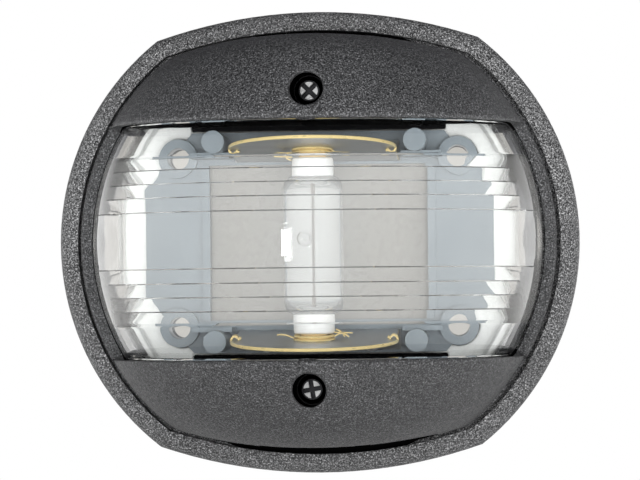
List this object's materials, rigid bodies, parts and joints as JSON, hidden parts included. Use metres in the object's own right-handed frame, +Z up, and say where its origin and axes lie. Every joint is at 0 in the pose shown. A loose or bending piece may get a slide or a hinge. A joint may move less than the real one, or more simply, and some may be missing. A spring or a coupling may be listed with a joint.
{
  "type": "navigation light",
  "caption": "White stern navigation light with a round-sided black housing, a domed clear lens with a stepped belt, and a festoon bulb in brass spring contacts.",
  "frame": {"origin": "centre of the flat back face that lies on the transom", "axes": "+Z up, +X to the right when looking at the lens from the front, the light shines along -Y"},
  "size_m": [0.08, 0.043, 0.071],
  "materials": {
    "black_housing": "fine sand texture, satin black",
    "black_cover": "fine sand texture, satin black",
    "black_rubber": "matt",
    "brass_insert": "turned",
    "white_plastic": "smooth white",
    "grey_plastic": "smooth satin blue grey",
    "contact_brass": "bright rolled sheet",
    "rivet_steel": "plated",
    "bulb_glass": "clear",
    "bulb_nickel": "nickel plated",
    "bulb_brass": "satin",
    "filament_wire": "drawn wire",
    "clear_lens": "clear moulded polycarbonate",
    "black_screw": "black oxide"
  },
  "bodies": {
    "housing": {"base": "black_housing", "grommet": "black_rubber", "insert_top": "brass_insert", "insert_bottom": "brass_insert", "body_seal": "black_rubber", "reflector": "white_plastic", "carrier": "grey_plastic", "rivets_top": "rivet_steel", "rivets_bottom": "rivet_steel"},
    "cover_lens": {"cover": "black_cover", "lens": "clear_lens", "screw_seal_top": "black_rubber", "screw_seal_bottom": "black_rubber"},
    "upper_screw": {"screw_top": "black_screw"},
    "lower_screw": {"screw_bottom": "black_screw"},
    "upper_contact": {"contact_top": "contact_brass"},
    "lower_contact": {"contact_bottom": "contact_brass"},
    "bulb": {"bulb_glass": "bulb_glass", "bulb_cap_top": "bulb_nickel", "bulb_cap_bottom": "bulb_nickel", "bulb_tip_top": "bulb_brass", "bulb_tip_bottom": "bulb_brass", "bulb_filament": "filament_wire", "bulb_leads": "filament_wire"}
  },
  "joints": [
    {"name": "cover_off", "type": "slide", "parent": "housing", "child": "cover_lens", "axis": [0, -1, 0], "range_m": [0, 0.045]},
    {"name": "screw_top_turn", "type": "hinge", "parent": "cover_lens", "child": "upper_screw", "pos_m": [0, -0.0253, 0.0222], "axis": [0, 1, 0], "continuous": true},
    {"name": "screw_bottom_turn", "type": "hinge", "parent": "cover_lens", "child": "lower_screw", "pos_m": [0, -0.0253, -0.0222], "axis": [0, 1, 0], "continuous": true},
    {"name": "contact_top_flex", "type": "hinge", "parent": "housing", "child": "upper_contact", "pos_m": [0, -0.0062, 0.0123], "axis": [-1, 0, 0], "range_deg": [0, 0.8], "stiffness_Nm_per_rad": 0.4},
    {"name": "contact_bottom_flex", "type": "hinge", "parent": "housing", "child": "lower_contact", "pos_m": [0, -0.0062, -0.0134], "axis": [1, 0, 0], "range_deg": [0, 0.8], "stiffness_Nm_per_rad": 0.4},
    {"name": "bulb_turn", "type": "hinge", "parent": "housing", "child": "bulb", "pos_m": [0, -0.0205, -0.0007], "axis": [0, 0, 1], "continuous": true}
  ]
}
